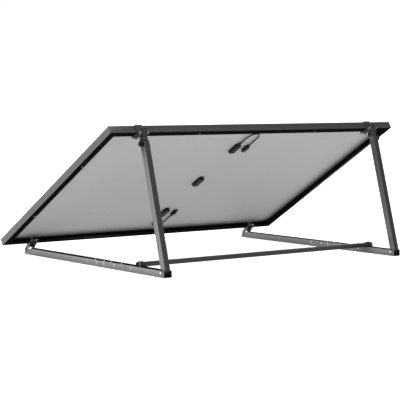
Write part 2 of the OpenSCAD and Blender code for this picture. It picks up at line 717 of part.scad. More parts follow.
module leg_rod(e) color([0.3, 0.3, 0.3]) in_rod(e) difference() {
  translate([-rod_w / 2, -rod_d / 2, -rod_below]) cube([rod_w, rod_d, rod_below + rod_top]);
  translate([-rod_w / 2 + rod_wall, -rod_d / 2 + rod_wall, -rod_below - 1])
    cube([rod_w - 2 * rod_wall, rod_d - 2 * rod_wall, rod_below + rod_top + 2]);
  rod_slot(m8 + 0.7, -pivot_play, pivot_play);
  rod_slot(m6 + 0.5, knob_at - rod_l - travel, knob_at - rod_l);
}

// Plugs of a rod: the cap on its top end and the slider on its lower end
module rod_plugs(e) color([0.04, 0.04, 0.04]) in_rod(e) {
  in_w = rod_w - 2 * rod_wall - 2 * fit;
  in_d = rod_d - 2 * rod_wall - 2 * fit;
  cap_h = 2.5;
  cap_in = 5;
  slider_h = 6;
  translate([-rod_w / 2, -rod_d / 2, rod_top]) cube([rod_w, rod_d, cap_h]);
  translate([-in_w / 2, -in_d / 2, rod_top - cap_in]) cube([in_w, in_d, cap_in + 0.01]);
  slide_w = leg_w - 2 * leg_wall - 2 * fit;
  slide_d = leg_d - 2 * leg_wall - 2 * fit;
  translate([-slide_w / 2, -rod_back - slide_d / 2, -rod_below - slider_h])
    cube([slide_w, slide_d, slider_h]);
  translate([-in_w / 2, -in_d / 2, -rod_below - 0.01]) cube([in_w, in_d, 2 * slider_h]);
}

// Local frame of a knob's axis: z points out from the leg's outer side
module at_knob(e) in_leg(e * rail_x) translate([e * leg_w / 2, rod_set, knob_at])
  rotate([0, e * 90, 0]) children();

module knob_bolt(e) color("silver") at_knob(e) {
  translate([0, 0, -leg_w]) mirror([0, 0, 1]) hex_bolt(m6, af6, head6, 0);
  translate([0, 0, -leg_w]) cylinder(r = m6, h = leg_w + 10);
}

knob_neck_r = 7;
knob_from = 3.2;
knob_h = 12;
lobe_r = 3.2;
module knob(e) color([0.05, 0.05, 0.05]) at_knob(e) difference() {
  union() {
    translate([0, 0, 0.3]) cylinder(r = knob_neck_r, h = knob_from);
    translate([0, 0, knob_from]) cylinder(d = knob_d - 2, h = knob_h);
    for (a = [0 : 45 : 315]) rotate([0, 0, a]) translate([knob_d / 2 - lobe_r, 0, knob_from])
      cylinder(r = lobe_r, h = knob_h);
  }
  translate([0, 0, -1]) cylinder(r = m6 + run, h = knob_h);
}

frame_top();
frame_bottom();
frame_side(1);  // frame_left
frame_side(-1);  // frame_right
corner_keys();
glass();
front_encapsulant();
solar_cells();
bus_ribbons();
rear_encapsulant();
backsheet();
edge_seal();
junction_box(1, true);  // junction_box_upper
junction_box(0, false);  // junction_box_middle
junction_box(-1, true);  // junction_box_lower
junction_lids();
bypass_diodes();
terminal_clips();
cable_gland(1);  // cable_gland_upper
cable_gland(-1);  // cable_gland_lower
lead(1);  // lead_upper
lead(-1);  // lead_lower
connector_upper();
connector_lower();
connector_nut(1);  // connector_nut_upper
connector_nut(-1);  // connector_nut_lower
top_clamp(rail_x);  // top_clamp_left
top_clamp(-rail_x);  // top_clamp_right
bottom_clamp(rail_x);  // bottom_clamp_left
bottom_clamp(-rail_x);  // bottom_clamp_right
clamp_jaws();
clamp_screws();
clamp_nuts();
thumb_screw(1);  // thumb_screw_left
thumb_screw(-1);  // thumb_screw_right
top_pivot_bolts();
top_pivot_nuts();
top_pivot_spacers();
rail(1);  // rail_left
rail(-1);  // rail_right
crossbar();
crossbar_caps();
bar_straps();
strap_screws();
rail_bolts();
rail_nuts();
foot_spacers();
leg_tube(1);  // leg_tube_left
leg_tube(-1);  // leg_tube_right
leg_bush(1);  // leg_bush_left
leg_bush(-1);  // leg_bush_right
leg_rod(1);  // leg_rod_left
leg_rod(-1);  // leg_rod_right
rod_plugs(1);  // rod_plugs_left
rod_plugs(-1);  // rod_plugs_right
knob_bolt(1);  // knob_bolt_left
knob_bolt(-1);  // knob_bolt_right
knob(1);  // knob_left
knob(-1);  // knob_right
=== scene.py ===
"""A framed solar panel on an adjustable tilt stand, seen from behind. Metres, in the CAD frame.

On the panel, n is a height above the rear plane of its frame, towards the glass.
"""

import json
import math

import bpy
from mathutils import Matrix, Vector


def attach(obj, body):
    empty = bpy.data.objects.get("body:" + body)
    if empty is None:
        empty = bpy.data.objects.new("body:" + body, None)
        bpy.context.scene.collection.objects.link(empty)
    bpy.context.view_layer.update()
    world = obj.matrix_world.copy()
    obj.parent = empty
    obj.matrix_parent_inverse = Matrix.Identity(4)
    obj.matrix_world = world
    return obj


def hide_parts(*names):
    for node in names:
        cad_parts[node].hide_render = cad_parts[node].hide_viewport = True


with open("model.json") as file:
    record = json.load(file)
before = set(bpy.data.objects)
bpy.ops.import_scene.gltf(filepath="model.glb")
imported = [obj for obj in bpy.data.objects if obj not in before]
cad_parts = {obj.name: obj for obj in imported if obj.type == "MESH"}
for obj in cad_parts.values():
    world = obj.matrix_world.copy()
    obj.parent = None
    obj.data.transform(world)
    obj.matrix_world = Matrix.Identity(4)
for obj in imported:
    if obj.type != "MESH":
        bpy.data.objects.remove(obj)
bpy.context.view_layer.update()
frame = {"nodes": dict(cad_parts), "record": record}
nodes = frame["nodes"]

# ---------- sizes of the part ----------

ACROSS = Vector((1, 0, 0))
TILT = math.radians(30.7)
UP_SLOPE = Vector((0, math.cos(TILT), math.sin(TILT)))
TO_FRONT = Vector((0, -math.sin(TILT), math.cos(TILT)))
PANEL_AXES = (ACROSS, UP_SLOPE, TO_FRONT)
WORLD_AXES = (ACROSS, Vector((0, 1, 0)), Vector((0, 0, 1)))

RAIL_X, RAIL_W = 0.7015, 0.0435
FRONT_Y, FOOT_Y, PIVOT_Z = -0.594, 0.583, 0.022
HOLES_Y = (-0.016, 0.064, 0.120, 0.208, 0.346)
BAR_Y, BAR_Z, BAR_W, BAR_H, BAR_CAP_T = 0.3975, 0.0405, 0.024, 0.020, 0.0028

PANEL_HALF_W, PANEL_H = 0.861, 1.134
PIVOT_BELOW_EDGE, PIVOT_BEHIND = 0.026, 0.020
TOP_PIVOT_ABOVE, TOP_PIVOT_N, TOP_PIVOT_HALF_W = 0.020, -0.0115, 0.0181
BACK_N = 0.0283
CELL_PITCH, ROW_PITCH, CELL_H, CELLS, ROWS = 0.093, 0.184, 0.182, 9, 6
CELL_GAP, MID_GAP = 0.002, 0.016
BOX_X, BOX_STEP, LID_H = 0.003, 0.345, 0.0148
LEAD_N, LEAD_D = 0.020, 0.0065
PORT_X, CONNECTOR_X, CONNECTOR_Y = 0.002, -0.066, 0.034

# ---------- camera ----------

CAMERA_AT = Vector((4.2656, 5.5383, 0.7927))
AZIMUTH, ELEVATION = math.radians(142.858), math.radians(4.235)
LENS = 126.26
BACK = Vector((math.sin(AZIMUTH) * math.cos(ELEVATION),
               -math.cos(AZIMUTH) * math.cos(ELEVATION), math.sin(ELEVATION)))

camera = bpy.data.objects.new("camera", bpy.data.cameras.new("camera"))
bpy.context.scene.collection.objects.link(camera)
camera.location = CAMERA_AT
camera.rotation_mode = "QUATERNION"
camera.rotation_quaternion = (-BACK).to_track_quat("-Z", "Y")
camera.data.lens = LENS
camera.data.sensor_width = 36
camera.data.clip_end = 60
bpy.context.scene.camera = camera

# ---------- places on the panel ----------

PANEL_AT = Vector((0, FRONT_Y, PIVOT_Z)) + PIVOT_BELOW_EDGE * UP_SLOPE + PIVOT_BEHIND * TO_FRONT


def on_panel(x, s, n):
    """A point from its place across, up the slope and at a height n."""
    return PANEL_AT + Vector((x, 0, 0)) + s * UP_SLOPE + n * TO_FRONT


# ---------- leads ----------

# Millimetres across and outwards from the box's middle, from the gland to the connector
LEAD = [(2, 51), (2, 68), (3, 86), (3, 104), (0, 121), (-7, 136), (-18, 146), (-31, 150),
        (-45, 147), (-56, 138), (-63, 124), (-66, 106), (-66, 87), (-66, 67), (-66, 50), (-66, 34)]
LEAD_STEPS, LEAD_SIDES = 6, 20


def at_box(k, x, y, n):
    """A point from a junction box's middle: y runs outwards, the way the lead leaves."""
    return on_panel(BOX_X + x, PANEL_H / 2 + k * BOX_STEP + (-y if k < 0 else y), n)


def blend(p0, p1, p2, p3, t):
    """Catmull-Rom point between p1 and p2."""
    return 0.5 * (2 * p1 + (p2 - p0) * t + (2 * p0 - 5 * p1 + 4 * p2 - p3) * t ** 2
                  + (3 * p1 - 3 * p2 + p3 - p0) * t ** 3)


def curved(points, steps):
    """The points with a smooth curve through them, in so many steps from each to the next."""
    last = len(points) - 1

    def pick(i):
        return points[max(0, min(last, i))]

    made = [blend(pick(i - 1), pick(i), pick(i + 1), pick(i + 2), k / steps)
            for i in range(last) for k in range(steps)]
    return made + [points[last]]


def tube(route, radius, sides, side_of):
    """Verts and faces of a tube along points that stay in one plane, square to side_of."""
    verts, faces = [], []
    last = len(route) - 1
    for i, place in enumerate(route):
        along = (route[min(last, i + 1)] - route[max(0, i - 1)]).normalized()
        out = along.cross(side_of)
        for j in range(sides):
            a = 2 * math.pi * j / sides
            verts.append(place + radius * math.cos(a) * out + radius * math.sin(a) * side_of)
    for i in range(last):
        for j in range(sides):
            k = (j + 1) % sides
            faces.append((i * sides + j, (i + 1) * sides + j, (i + 1) * sides + k, i * sides + k))
    faces.append(tuple(range(sides)))
    faces.append(tuple(last * sides + j for j in range(sides - 1, -1, -1)))
    return verts, faces


def make_lead(name, k):
    corners = [at_box(k, x / 1000, y / 1000, LEAD_N) for x, y in LEAD]
    route = curved(corners, LEAD_STEPS)
    verts, faces = tube(route, LEAD_D / 2, LEAD_SIDES, TO_FRONT)
    mesh = bpy.data.meshes.new(name)
    mesh.from_pydata([tuple(v) for v in verts], [], faces)
    mesh.shade_smooth()
    piece = bpy.data.objects.new(name, mesh)
    bpy.context.scene.collection.objects.link(piece)
    end = name.split("_")[-1]
    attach(piece, "panel")
    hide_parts("lead_" + end)
    return piece


leads = [make_lead("cable_upper", 1), make_lead("cable_lower", -1)]

# ---------- nodes of a material ----------

# Near black: the cable's own colour, and the colour of the painted shade in hollows, rail
# channels, leg feet and on the frame's rear and inner faces.
BLACK_AND_SHADE = (0.004, 0.004, 0.004)
NOISE_SPAN = (0.3, 0.7)
FACING_REAR = (0.6, 0.8)
# Width of the lightened edges, which are edge wear and painted highlight.
WEAR_AND_HIGHLIGHT_RADIUS = 0.0010
BUMP_HEIGHT = 0.0002
ROUGH_SPREAD, LEAST_ROUGH = 0.08, 0.03
MIX_A, MIX_B, MIX_OUT = 6, 7, 2


def link(tree, a, out, b, into):
    tree.links.new(a.outputs[out], b.inputs[into])


def texture_place(tree):
    return tree.nodes.new("ShaderNodeTexCoord")


def noise(tree, scale, detail, stretch):
    """Noise in the piece's own space, stretched along the axes with the small numbers."""
    coord = texture_place(tree)
    mapping = tree.nodes.new("ShaderNodeMapping")
    mapping.inputs["Scale"].default_value = stretch
    tex = tree.nodes.new("ShaderNodeTexNoise")
    tex.inputs["Scale"].default_value = scale
    tex.inputs["Detail"].default_value = detail
    link(tree, coord, "Object", mapping, "Vector")
    link(tree, mapping, "Vector", tex, "Vector")
    return tex


def ranged(tree, source, out, span, to):
    """A value carried from one span to another, and held at its ends."""
    node = tree.nodes.new("ShaderNodeMapRange")
    node.inputs["From Min"].default_value, node.inputs["From Max"].default_value = span
    node.inputs["To Min"].default_value, node.inputs["To Max"].default_value = to
    link(tree, source, out, node, "Value")
    return node


def mixed(tree, share, first, second):
    """A colour between two: each is a colour or the mix node that makes one."""
    mix = tree.nodes.new("ShaderNodeMix")
    mix.data_type = "RGBA"
    link(tree, share, "Result", mix, 0)
    for socket, value in ((MIX_A, first), (MIX_B, second)):
        if isinstance(value, tuple):
            mix.inputs[socket].default_value = (*value, 1)
        else:
            link(tree, value, MIX_OUT, mix, socket)
    return mix


def maths(tree, operation, source, out, value=0.0):
    """An operation on a value, and on a second one where it takes two."""
    node = tree.nodes.new("ShaderNodeMath")
    node.operation = operation
    link(tree, source, out, node, 0)
    node.inputs[1].default_value = value
    return node


def vectors(tree, operation, first, first_out, second, second_out=None):
    """An operation on two vectors: the second is a constant, or comes out of a node."""
    node = tree.nodes.new("ShaderNodeVectorMath")
    node.operation = operation
    link(tree, first, first_out, node, 0)
    if second_out:
        link(tree, second, second_out, node, 1)
    else:
        node.inputs[1].default_value = second
    return node


# ---------- what a finish can have on it, and the painted light and shade ---


def worn_and_highlit_edges(tree, base, bright):
    """Lightens the edges: edge wear, and a painted highlight along edges that would catch the
    light.
    """
    bevel = tree.nodes.new("ShaderNodeBevel")
    bevel.samples = 4
    bevel.inputs["Radius"].default_value = WEAR_AND_HIGHLIGHT_RADIUS
    geometry = tree.nodes.new("ShaderNodeNewGeometry")
    facing = vectors(tree, "DOT_PRODUCT", bevel, "Normal", geometry, "Normal")
    edge = ranged(tree, facing, "Value", (0.98, 0.75), (0, 0.5))
    return mixed(tree, edge, base, bright)


def painted_shade_in_hollows(tree, base, distance, keep):
    """Painted shade: darkens hollows and the insides of channels, where shade falls, down to the
    share that is kept.
    """
    hollow = tree.nodes.new("ShaderNodeAmbientOcclusion")
    hollow.samples = 6
    hollow.inputs["Distance"].default_value = distance
    share = ranged(tree, hollow, "AO", (0.35, 0.85), (1 - keep, 0))
    return mixed(tree, share, base, BLACK_AND_SHADE)


def painted_shade_on_rear_faces(tree, shader, base, color, metal):
    """Painted shade: turns the frame's faces that look rearwards or inwards to a near-black,
    non-metal colour, as if in shade.
    """
    coord = texture_place(tree)
    rear = vectors(tree, "DOT_PRODUCT", coord, "Normal", -TO_FRONT)
    last = mixed(tree, ranged(tree, rear, "Value", FACING_REAR, (0, 1)), base, color)
    bare = ranged(tree, rear, "Value", FACING_REAR, (metal, 0))
    link(tree, bare, "Result", shader, "Metallic")
    place = vectors(tree, "SUBTRACT", coord, "Object", on_panel(0, PANEL_H / 2, 0))
    outward = vectors(tree, "DOT_PRODUCT", place, "Vector", coord, "Normal")
    return mixed(tree, ranged(tree, outward, "Value", (-0.3, -0.1), (1, 0)), last, color)


def slope_grid(tree):
    """The place on the laminate: across, and up the slope."""
    coord = texture_place(tree)
    across = vectors(tree, "DOT_PRODUCT", coord, "Object", ACROSS)
    up = vectors(tree, "DOT_PRODUCT", coord, "Object", UP_SLOPE)
    place = tree.nodes.new("ShaderNodeCombineXYZ")
    link(tree, across, "Value", place, "X")
    link(tree, up, "Value", place, "Y")
    return place


def painted_cell_shadow(tree, base):
    """Painted light: the film is a little lighter over the gaps between the cells, as if lit
    through them, so the cells show as faint painted shadows.
    """
    brick = tree.nodes.new("ShaderNodeTexBrick")
    brick.offset = 0
    for key, value in (("Scale", 1), ("Brick Width", CELL_PITCH), ("Row Height", ROW_PITCH),
                       ("Mortar Size", 0.0015), ("Mortar Smooth", 0.8)):
        brick.inputs[key].default_value = value
    link(tree, slope_grid(tree), "Vector", brick, "Vector")
    return mixed(tree, ranged(tree, brick, "Fac", (0, 1), (0, 0.05)), base, (1, 1, 1))


def fingers(tree, base):
    """Fine printed lines on the cells, up the slope."""
    wave = tree.nodes.new("ShaderNodeTexWave")
    wave.inputs["Scale"].default_value = 110
    wave.inputs["Distortion"].default_value = 0
    link(tree, slope_grid(tree), "Vector", wave, "Vector")
    return mixed(tree, ranged(tree, wave, "Fac", (0.75, 1), (0, 0.03)), base, (0.3, 0.32, 0.36))


def place_of(tree):
    """The place on the object, split into its three coordinates."""
    split = tree.nodes.new("ShaderNodeSeparateXYZ")
    link(tree, texture_place(tree), "Object", split, "Vector")
    return split


def painted_shade_in_channel(tree, base):
    """Painted shade: the inside of a rail's channel turned near black, where shade falls."""
    across = maths(tree, "ABSOLUTE", place_of(tree), "X")
    off = maths(tree, "ABSOLUTE", maths(tree, "SUBTRACT", across, "Value", RAIL_X), "Value")
    inside = ranged(tree, off, "Value", (RAIL_W / 2 - 0.0012, RAIL_W / 2 - 0.0006), (0.93, 0))
    return mixed(tree, inside, base, BLACK_AND_SHADE)


def painted_shade_on_foot(tree, base):
    """Painted shade: the foot of a leg darkened, down in its rail where shade falls."""
    low = ranged(tree, place_of(tree), "Z", (0.024, 0.034), (0.85, 0))
    return mixed(tree, low, base, BLACK_AND_SHADE)


# ---------- materials ----------

MATERIALS = {}


def surface(name, color, rough=0.5, metal=0.0, vary=0.12, scale=40, stretch=(1, 1, 1),
            grain=900, bump=0.1, specular=0.5, coat=0.0, wear_and_highlight=None,
            hollow_shade=None, rear_shade=None, pattern=None):
    """A material whose colour, roughness and height all vary over the surface, kept by name."""
    mat = MATERIALS[name] = bpy.data.materials.new(name)
    mat.use_nodes = True
    tree = mat.node_tree
    shader = tree.nodes["Principled BSDF"]
    shader.inputs["Metallic"].default_value = metal
    shader.inputs["Specular IOR Level"].default_value = specular
    shader.inputs["Coat Weight"].default_value = coat
    share = ranged(tree, noise(tree, scale, 5, stretch), "Fac", NOISE_SPAN, (0, 1))
    last = mixed(tree, share, tuple(c * (1 - vary) for c in color),
                 tuple(min(1, c * (1 + vary)) for c in color))
    if pattern:
        last = pattern(tree, last)
    if wear_and_highlight:
        last = worn_and_highlit_edges(tree, last, wear_and_highlight)
    if rear_shade:
        last = painted_shade_on_rear_faces(tree, shader, last, rear_shade, metal)
    if hollow_shade:
        last = painted_shade_in_hollows(tree, last, *hollow_shade)
    link(tree, last, MIX_OUT, shader, "Base Color")
    fine = noise(tree, grain, 3, stretch)
    roughness = ranged(tree, fine, "Fac", NOISE_SPAN, (max(LEAST_ROUGH, rough - ROUGH_SPREAD),
                                                       min(1, rough + ROUGH_SPREAD)))
    link(tree, roughness, "Result", shader, "Roughness")
    height = tree.nodes.new("ShaderNodeBump")
    height.inputs["Strength"].default_value = bump
    height.inputs["Distance"].default_value = BUMP_HEIGHT
    link(tree, fine, "Fac", height, "Height")
    link(tree, height, "Normal", shader, "Normal")
    return mat


ALONG_X = (0.03, 1, 1)
ALONG_Y = (1, 0.03, 1)
ALONG_Z = (1, 1, 0.03)
# Reach and kept share of the painted shade in hollows.
SHADE_IN_HOLLOWS = (0.08, 0.12)


def grey(level):
    return level, level, level


def clear(name, alpha, rough, tint, specular):
    """A clear sheet: mostly see-through, with the gloss of its gently waved surface."""
    mat = surface(name, tint, rough, vary=0.02, grain=4, bump=0.02, specular=specular)
    mat.node_tree.nodes["Principled BSDF"].inputs["Alpha"].default_value = alpha


# Painted light in the finishes below: edges lightened as wear and painted highlight, hollows
# darkened as painted shade, and painted shade on the frame's rear and inner faces, in the rails'
# channels and on the legs' feet.
surface("anodised_black", grey(0.12), 0.42, 0.85, stretch=ALONG_X, vary=0.06, specular=0.0,
        wear_and_highlight=grey(0.17), rear_shade=BLACK_AND_SHADE, hollow_shade=(0.045, 0.1))
# The backsheet carries painted light between the cells' faint painted shadows.
surface("backsheet_film", grey(0.285), 0.6, vary=0.02, scale=3, specular=0.2, bump=0.05,
        pattern=painted_cell_shadow)
surface("sealant", grey(0.02), 0.55, vary=0.05, bump=0.3, scale=90)
surface("rubber_black", grey(0.015), 0.6)
surface("moulded_black", (0.010, 0.010, 0.011), 0.42, bump=0.35, specular=0.06,
        wear_and_highlight=grey(0.045))
surface("cable_black", BLACK_AND_SHADE, 0.42, bump=0.2, specular=0.12)
surface("coated_dark", grey(0.10), 0.42, 0.75, bump=0.5, wear_and_highlight=grey(0.3), hollow_shade=SHADE_IN_HOLLOWS)
surface("coated_grey", grey(0.16), 0.4, 0.75, bump=0.5, wear_and_highlight=grey(0.4), hollow_shade=SHADE_IN_HOLLOWS)
surface("steel_bright", grey(0.55), 0.26, 1.0, vary=0.06, hollow_shade=(0.012, 0.3))
# Dull zinc for the washers, and a darker copy of the bright steel as painted shade on the clamp
# screws and nuts.
surface("zinc_dull", grey(0.16), 0.45, 0.9, vary=0.1)
surface("rail_aluminium", (0.29, 0.29, 0.285), 0.36, 0.9, stretch=ALONG_Y, vary=0.07,
        wear_and_highlight=(0.32, 0.32, 0.31), hollow_shade=SHADE_IN_HOLLOWS, pattern=painted_shade_in_channel)
surface("leg_aluminium", (0.165, 0.165, 0.162), 0.33, 0.9, stretch=ALONG_Z, vary=0.07,
        wear_and_highlight=(0.6, 0.6, 0.59), hollow_shade=SHADE_IN_HOLLOWS, pattern=painted_shade_on_foot)
surface("rod_dark", grey(0.09), 0.36, 0.8, stretch=ALONG_Z, wear_and_highlight=grey(0.55), hollow_shade=SHADE_IN_HOLLOWS)
surface("bar_dark", grey(0.045), 0.42, 0.8, stretch=ALONG_X, wear_and_highlight=grey(0.22), hollow_shade=SHADE_IN_HOLLOWS)
surface("cap_black", grey(0.002), 0.6, specular=0.04, bump=0.3)
surface("nylon", (0.6, 0.59, 0.55), 0.5, hollow_shade=SHADE_IN_HOLLOWS)
surface("wire_grey", (0.10, 0.10, 0.11), 0.5, 0.6)
# Near-white rims for the rails' holes: bare edges, lightened as a painted highlight.
surface("bare_edge", (0.85, 0.85, 0.84), 0.5, 0.2, vary=0.05)
surface("tinned", (0.62, 0.62, 0.60), 0.35, 0.9)
surface("cell_blue", (0.006, 0.009, 0.026), 0.3, vary=0.3, scale=5, grain=30, coat=1.0,
        bump=0.01, pattern=fingers)
clear("solar_glass", 0.06, 0.1, (0.04, 0.05, 0.07), 0.7)
clear("clear_film", 0.01, 0.4, grey(0.5), 0.1)

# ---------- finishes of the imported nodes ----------

FINISH = {
    "black_frame": "anodised_black", "solar_glass": "solar_glass", "film": "clear_film",
    "silicon": "cell_blue", "tinned_copper": "tinned", "backsheet": "backsheet_film",
    "seal": "rubber_black", "box_plastic": "moulded_black", "diode": "moulded_black",
    "cable": "cable_black", "connector_plastic": "moulded_black", "clamp_paint": "coated_dark",
    "foot_paint": "coated_grey", "steel": "steel_bright", "rail_alu": "rail_aluminium",
    "leg_alu": "leg_aluminium", "rod_paint": "rod_dark", "bar_paint": "bar_dark",
    "black_plastic": "moulded_black", "nylon": "nylon",
}
# Clamp screws and nuts take the dull zinc, and clamp jaws the crossbar's darker paint: darker
# copies of their finishes, painted shade where they sit in the clamps' shade.
NODE_FINISH = {
    "crossbar_caps": "cap_black", "clamp_screws": "zinc_dull", "clamp_nuts": "zinc_dull",
    "clamp_jaws": "bar_dark", "bar_straps": "bar_dark",
}
FLAT = ("film", "silicon", "backsheet", "tinned_copper", "seal", "solar_glass", "cable")
EDGE, SMALL_EDGE, SHARP = 0.0005, 0.0003, 0.7


def dress(piece, mat):
    piece.data.materials.clear()
    piece.data.materials.append(MATERIALS[mat])


def soften(piece, width):
    """Joins the imported faces and rounds the sharp edges, so that they catch the light."""
    weld = piece.modifiers.new("weld", "WELD")
    weld.merge_threshold = 0.00001
    bevel = piece.modifiers.new("round", "BEVEL")
    bevel.width = width
    bevel.segments = 2
    bevel.limit_method = "ANGLE"
    bevel.angle_limit = SHARP
    bevel.harden_normals = True


for row in frame["record"]["subparts"]:
    node = nodes[row["node"]]
    dress(node, NODE_FINISH.get(row["node"], FINISH[row["material_slot"]]))
    if row["material_slot"] not in FLAT:
        small = "screw" in row["node"] or "nut" in row["node"]
        soften(node, SMALL_EDGE if small else EDGE)
for piece in leads:
    dress(piece, "cable_black")

# ---------- pieces that only the eye needs ----------


def add_piece(name, verts, faces, body, mat, slot, rounded=True):
    mesh = bpy.data.meshes.new(name)
    mesh.from_pydata([tuple(v) for v in verts], [], faces)
    mesh.update()
    if rounded:
        mesh.shade_smooth()
    piece = bpy.data.objects.new(name, mesh)
    bpy.context.scene.collection.objects.link(piece)
    dress(piece, mat)
    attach(piece, body)
    return piece


def across_of(axis):
    """Two unit vectors square to an axis and to each other."""
    other = Vector((0.3, 0.2, 1)) if abs(axis.z) < 0.9 else Vector((1, 0.2, 0))
    first = axis.cross(other).normalized()
    return first, axis.cross(first)


def lathe(at, axis, profile, sides=32, ribs=0, rib=0.0, closed=False):
    """Verts and faces of a turned shape: a profile of radius and height, ribs standing out."""
    axis = axis.normalized()
    u, v = across_of(axis)
    verts, faces = [], []
    for r, h in profile:
        for j in range(sides):
            a = 2 * math.pi * j / sides
            out = r + (rib if ribs and math.cos(ribs * a) > 0 and r > 0 else 0)
            verts.append(at + h * axis + out * math.cos(a) * u + out * math.sin(a) * v)
    last = len(profile) if closed else len(profile) - 1
    for i in range(last):
        low, high = i * sides, ((i + 1) % len(profile)) * sides
        for j in range(sides):
            k = (j + 1) % sides
            faces.append((low + j, low + k, high + k, high + j))
    if not closed:
        faces.append(tuple(range(sides - 1, -1, -1)))
        faces.append(tuple(range(last * sides, (last + 1) * sides)))
    return verts, faces


def joined(shapes):
    """Verts and faces of many shapes as one."""
    verts, faces = [], []
    for some, these in shapes:
        shift = len(verts)
        verts += some
        faces += [tuple(i + shift for i in face) for face in these]
    return verts, faces


def slab(at, axes, size, edge):
    """Verts and faces of a block with chamfered edges, along three axes."""
    verts, faces = [], []
    half = [s / 2 for s in size]
    layers = [(-half[2], edge), (-half[2] + edge, 0), (half[2] - edge, 0), (half[2], edge)]
    for z, cut in layers:
        w, d = half[0] - cut, half[1] - cut
        ring = [(w - edge, d), (w, d - edge), (w, -d + edge), (w - edge, -d),
                (-w + edge, -d), (-w, -d + edge), (-w, d - edge), (-w + edge, d)]
        verts += [at + x * axes[0] + y * axes[1] + z * axes[2] for x, y in ring]
    for i in range(3):
        for j in range(8):
            k = (j + 1) % 8
            faces.append((8 * i + j, 8 * i + k, 8 * i + 8 + k, 8 * i + 8 + j))
    faces.append(tuple(range(7, -1, -1)))
    faces.append(tuple(range(24, 32)))
    return verts, faces


def rims(centre, ys, reach, profile):
    """Turned rims on both faces of the left and right members, at each place along them."""
    return joined([lathe(centre + Vector((e * RAIL_X + side * reach, y, 0)), side * ACROSS,
                         profile, closed=True)
                   for e in (1, -1) for y in ys for side in (1, -1)])


# Profiles as radius and height
WASHER = [(0.0042, 0), (0.0086, 0), (0.0088, 0.0004), (0.0084, 0.0012), (0.0042, 0.0012)]
HOLE_EDGE = [(0.0041, -0.0004), (0.0053, 0.0000), (0.0063, 0.0002), (0.0041, 0.0005)]
WASHER_GAP = 0.0001
PIVOT_LEVEL = Vector((0, 0, PIVOT_Z))

# Washers under the bolt heads and nuts of the rails, and near-white rims at their spare holes:
# bare edges, lightened as a painted highlight
add_piece("rail_washers", *rims(PIVOT_LEVEL, (FRONT_Y, FOOT_Y), RAIL_W / 2 + WASHER_GAP, WASHER),
          "base", "zinc_dull", "steel")
add_piece("hole_edges", *rims(PIVOT_LEVEL, HOLES_Y, RAIL_W / 2, HOLE_EDGE),
          "base", "bare_edge", "rail_alu")

# Washers of the top pivots
TOP_PIVOT = on_panel(0, PANEL_H + TOP_PIVOT_ABOVE, TOP_PIVOT_N)
add_piece("pivot_washers", *rims(TOP_PIVOT, (0,), TOP_PIVOT_HALF_W, WASHER),
          "panel", "zinc_dull", "steel")

# A thin bright metal band round the crossbar's tube beside each cap: a painted highlight along the
# tube's end edges
TRIM_W, TRIM_T, TRIM_EDGE = 0.0030, 0.0003, 0.0001
shapes = []
for e in (1, -1):
    x = e * (RAIL_X + RAIL_W / 2 - BAR_CAP_T - TRIM_W / 2)
    for side in (1, -1):
        upright = Vector((x, BAR_Y + side * (BAR_W + TRIM_T) / 2, BAR_Z))
        shapes.append(slab(upright, WORLD_AXES, (TRIM_W, TRIM_T, BAR_H), TRIM_EDGE))
    level = Vector((x, BAR_Y, BAR_Z + (BAR_H + TRIM_T) / 2))
    shapes.append(slab(level, WORLD_AXES, (TRIM_W, BAR_W, TRIM_T), TRIM_EDGE))
add_piece("bar_end_highlights", *joined(shapes), "base", "tinned", "bar_paint", rounded=False)

BEAD_IN, BEAD_R, BEAD_N = 0.0112, 0.0028, 0.0282
BEAD_STEPS, BEAD_ARC = 60, 6


def make_bead():
    """The bead of sealant between the backsheet and the frame, as laid by hand: four runs."""
    w, h = PANEL_HALF_W - BEAD_IN, PANEL_H - BEAD_IN
    corners = [(-w, BEAD_IN), (w, BEAD_IN), (w, h), (-w, h)]
    shapes = []
    for i in range(4):
        (x0, s0), (x1, s1) = corners[i], corners[(i + 1) % 4]
        along = Vector((x1 - x0, s1 - s0, 0))
        inward = Vector((-along.y, along.x, 0)).normalized()
        verts, faces = [], []
        for k in range(BEAD_STEPS + 1):
            x, s = x0 + along.x * k / BEAD_STEPS, s0 + along.y * k / BEAD_STEPS
            radius = BEAD_R * (1 + 0.12 * math.sin(k * 1.7 + i) + 0.08 * math.sin(k * 4.1))
            for j in range(BEAD_ARC + 1):
                a = math.pi / 2 * j / BEAD_ARC
                out, up = radius * (1 - math.sin(a)), radius * (1 - math.cos(a))
                verts.append(on_panel(x + inward.x * out, s + inward.y * out, BEAD_N - up))
        for k in range(BEAD_STEPS):
            for j in range(BEAD_ARC):
                p = k * (BEAD_ARC + 1) + j
                faces.append((p, p + 1, p + BEAD_ARC + 2, p + BEAD_ARC + 1))
        shapes.append((verts, faces))
    return joined(shapes)


add_piece("sealant_bead", *make_bead(), "panel", "sealant", "seal")

# Wires over the cells, ten to a row, in each half of the panel
WIRES, WIRE_W, WIRE_T, WIRE_EDGE, WIRE_N = 10, 0.0005, 0.00022, 0.00008, 0.02953
WIRE_START, WIRE_END = 0.0065, MID_GAP / 2 + CELLS * CELL_PITCH + 0.004
shapes = []
for row in range(ROWS):
    for wire in range(WIRES):
        s = (PANEL_H / 2 + (row - ROWS / 2) * ROW_PITCH + CELL_GAP / 2
             + (wire + 0.5) * CELL_H / WIRES)
        for e in (1, -1):
            middle = on_panel(e * (WIRE_START + WIRE_END) / 2, s, WIRE_N)
            shapes.append(slab(middle, PANEL_AXES, (WIRE_END - WIRE_START, WIRE_W, WIRE_T),
                               WIRE_EDGE))
add_piece("cell_wires", *joined(shapes), "panel", "wire_grey", "tinned_copper", rounded=False)


def box_axes(k):
    """Across, outwards and frontwards at a junction box."""
    return ACROSS, (-UP_SLOPE if k < 0 else UP_SLOPE), TO_FRONT


